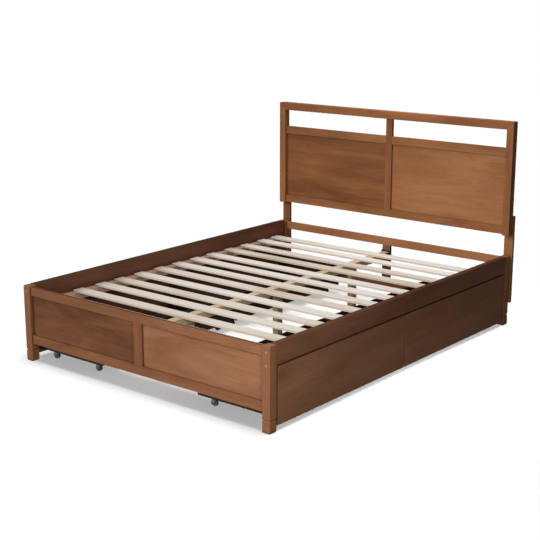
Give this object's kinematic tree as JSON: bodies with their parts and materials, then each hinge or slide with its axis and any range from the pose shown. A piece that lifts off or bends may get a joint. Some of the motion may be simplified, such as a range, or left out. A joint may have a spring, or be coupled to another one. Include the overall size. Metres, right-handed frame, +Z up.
{
  "type": "platform bed with storage drawers",
  "caption": "Wooden platform bed with a slatted base, a panelled headboard with an open slot, a low panelled footboard and drawers on casters under both sides.",
  "frame": {"origin": "on the floor, in the middle of the bed's footprint", "axes": "+Z up, +Y towards the headboard, +X to the right of someone who looks from the foot end"},
  "size_m": [1.622, 2.136, 1.141],
  "materials": {
    "stained_frame": "satin walnut stain",
    "stained_head": "satin walnut stain",
    "stained_panel": "satin walnut stain",
    "drawer_front": "satin walnut stain",
    "drawer_box": "matte plywood",
    "pine_slats": "bare pine",
    "pine_beam": "bare pine",
    "ledger_wood": "bare pinkish hardwood",
    "beam_leg_wood": "bare beige wood",
    "beech_dowel": "bare beech",
    "black_metal": "black powder coat",
    "zinc_plated": "zinc plated",
    "caster_body": "zinc-plated pressed steel",
    "caster_wheel": "dark grey tread"
  },
  "bodies": {
    "bed_frame": {"footboard_posts": "stained_frame", "footboard_top_rail": "stained_frame", "footboard_bottom_rail": "stained_frame", "footboard_centre_stile": "stained_frame", "footboard_panels": "stained_panel", "feet": "stained_frame", "headboard_stiles": "stained_head", "headboard_top_rail": "stained_head", "headboard_mid_rails": "stained_head", "headboard_bottom_rail": "stained_head", "headboard_centre_stile": "stained_head", "headboard_panels": "stained_panel", "headboard_legs": "stained_head", "rear_posts": "stained_head", "rear_cross_rails": "stained_head", "rear_centre_stile": "stained_head", "side_rails": "stained_frame", "slat_ledgers": "ledger_wood", "centre_beam": "pine_beam", "centre_beam_legs": "beam_leg_wood", "beam_brackets": "black_metal", "slats": "pine_slats", "slat_screws": "zinc_plated", "ledger_screws": "zinc_plated", "rail_bolts": "zinc_plated", "barrel_nuts": "zinc_plated", "headboard_bolts": "zinc_plated", "frame_dowels": "beech_dowel"},
    "left_foot_drawer": {"left_foot_drawer_front": "drawer_front", "left_foot_drawer_sides": "drawer_box", "left_foot_drawer_back": "drawer_box", "left_foot_drawer_bottom": "drawer_box", "left_foot_drawer_casters": "caster_body", "left_foot_drawer_axles": "zinc_plated"},
    "left_foot_drawer_inner_wheels": {"left_foot_drawer_inner_wheels": "caster_wheel"},
    "left_foot_drawer_outer_wheels": {"left_foot_drawer_outer_wheels": "caster_wheel"},
    "right_foot_drawer": {"right_foot_drawer_front": "drawer_front", "right_foot_drawer_sides": "drawer_box", "right_foot_drawer_back": "drawer_box", "right_foot_drawer_bottom": "drawer_box", "right_foot_drawer_casters": "caster_body", "right_foot_drawer_axles": "zinc_plated"},
    "right_foot_drawer_inner_wheels": {"right_foot_drawer_inner_wheels": "caster_wheel"},
    "right_foot_drawer_outer_wheels": {"right_foot_drawer_outer_wheels": "caster_wheel"},
    "left_head_drawer": {"left_head_drawer_front": "drawer_front", "left_head_drawer_sides": "drawer_box", "left_head_drawer_back": "drawer_box", "left_head_drawer_bottom": "drawer_box", "left_head_drawer_casters": "caster_body", "left_head_drawer_axles": "zinc_plated"},
    "left_head_drawer_inner_wheels": {"left_head_drawer_inner_wheels": "caster_wheel"},
    "left_head_drawer_outer_wheels": {"left_head_drawer_outer_wheels": "caster_wheel"},
    "right_head_drawer": {"right_head_drawer_front": "drawer_front", "right_head_drawer_sides": "drawer_box", "right_head_drawer_back": "drawer_box", "right_head_drawer_bottom": "drawer_box", "right_head_drawer_casters": "caster_body", "right_head_drawer_axles": "zinc_plated"},
    "right_head_drawer_inner_wheels": {"right_head_drawer_inner_wheels": "caster_wheel"},
    "right_head_drawer_outer_wheels": {"right_head_drawer_outer_wheels": "caster_wheel"}
  },
  "joints": [
    {"name": "left_foot_drawer_slide", "type": "slide", "parent": "bed_frame", "child": "left_foot_drawer", "axis": [-1, 0, 0], "range_m": [0, 0.42]},
    {"name": "left_foot_drawer_inner_wheels_roll", "type": "hinge", "parent": "left_foot_drawer", "child": "left_foot_drawer_inner_wheels", "pos_m": [-0.385, -0.5, 0.018], "axis": [0, -1, 0], "continuous": true},
    {"name": "left_foot_drawer_outer_wheels_roll", "type": "hinge", "parent": "left_foot_drawer", "child": "left_foot_drawer_outer_wheels", "pos_m": [-0.698, -0.5, 0.018], "axis": [0, -1, 0], "continuous": true},
    {"name": "right_foot_drawer_slide", "type": "slide", "parent": "bed_frame", "child": "right_foot_drawer", "axis": [1, 0, 0], "range_m": [0, 0.42]},
    {"name": "right_foot_drawer_inner_wheels_roll", "type": "hinge", "parent": "right_foot_drawer", "child": "right_foot_drawer_inner_wheels", "pos_m": [0.385, -0.5, 0.018], "axis": [0, 1, 0], "continuous": true},
    {"name": "right_foot_drawer_outer_wheels_roll", "type": "hinge", "parent": "right_foot_drawer", "child": "right_foot_drawer_outer_wheels", "pos_m": [0.698, -0.5, 0.018], "axis": [0, 1, 0], "continuous": true},
    {"name": "left_head_drawer_slide", "type": "slide", "parent": "bed_frame", "child": "left_head_drawer", "axis": [-1, 0, 0], "range_m": [0, 0.42]},
    {"name": "left_head_drawer_inner_wheels_roll", "type": "hinge", "parent": "left_head_drawer", "child": "left_head_drawer_inner_wheels", "pos_m": [-0.385, 0.5, 0.018], "axis": [0, -1, 0], "continuous": true},
    {"name": "left_head_drawer_outer_wheels_roll", "type": "hinge", "parent": "left_head_drawer", "child": "left_head_drawer_outer_wheels", "pos_m": [-0.698, 0.5, 0.018], "axis": [0, -1, 0], "continuous": true},
    {"name": "right_head_drawer_slide", "type": "slide", "parent": "bed_frame", "child": "right_head_drawer", "axis": [1, 0, 0], "range_m": [0, 0.42]},
    {"name": "right_head_drawer_inner_wheels_roll", "type": "hinge", "parent": "right_head_drawer", "child": "right_head_drawer_inner_wheels", "pos_m": [0.385, 0.5, 0.018], "axis": [0, 1, 0], "continuous": true},
    {"name": "right_head_drawer_outer_wheels_roll", "type": "hinge", "parent": "right_head_drawer", "child": "right_head_drawer_outer_wheels", "pos_m": [0.698, 0.5, 0.018], "axis": [0, 1, 0], "continuous": true}
  ],
  "couplings": [
    {"joint": "left_foot_drawer_inner_wheels_roll", "follows": "left_foot_drawer_slide", "rad_per_m": 55.556},
    {"joint": "left_foot_drawer_outer_wheels_roll", "follows": "left_foot_drawer_slide", "rad_per_m": 55.556},
    {"joint": "right_foot_drawer_inner_wheels_roll", "follows": "right_foot_drawer_slide", "rad_per_m": 55.556},
    {"joint": "right_foot_drawer_outer_wheels_roll", "follows": "right_foot_drawer_slide", "rad_per_m": 55.556},
    {"joint": "left_head_drawer_inner_wheels_roll", "follows": "left_head_drawer_slide", "rad_per_m": 55.556},
    {"joint": "left_head_drawer_outer_wheels_roll", "follows": "left_head_drawer_slide", "rad_per_m": 55.556},
    {"joint": "right_head_drawer_inner_wheels_roll", "follows": "right_head_drawer_slide", "rad_per_m": 55.556},
    {"joint": "right_head_drawer_outer_wheels_roll", "follows": "right_head_drawer_slide", "rad_per_m": 55.556}
  ]
}
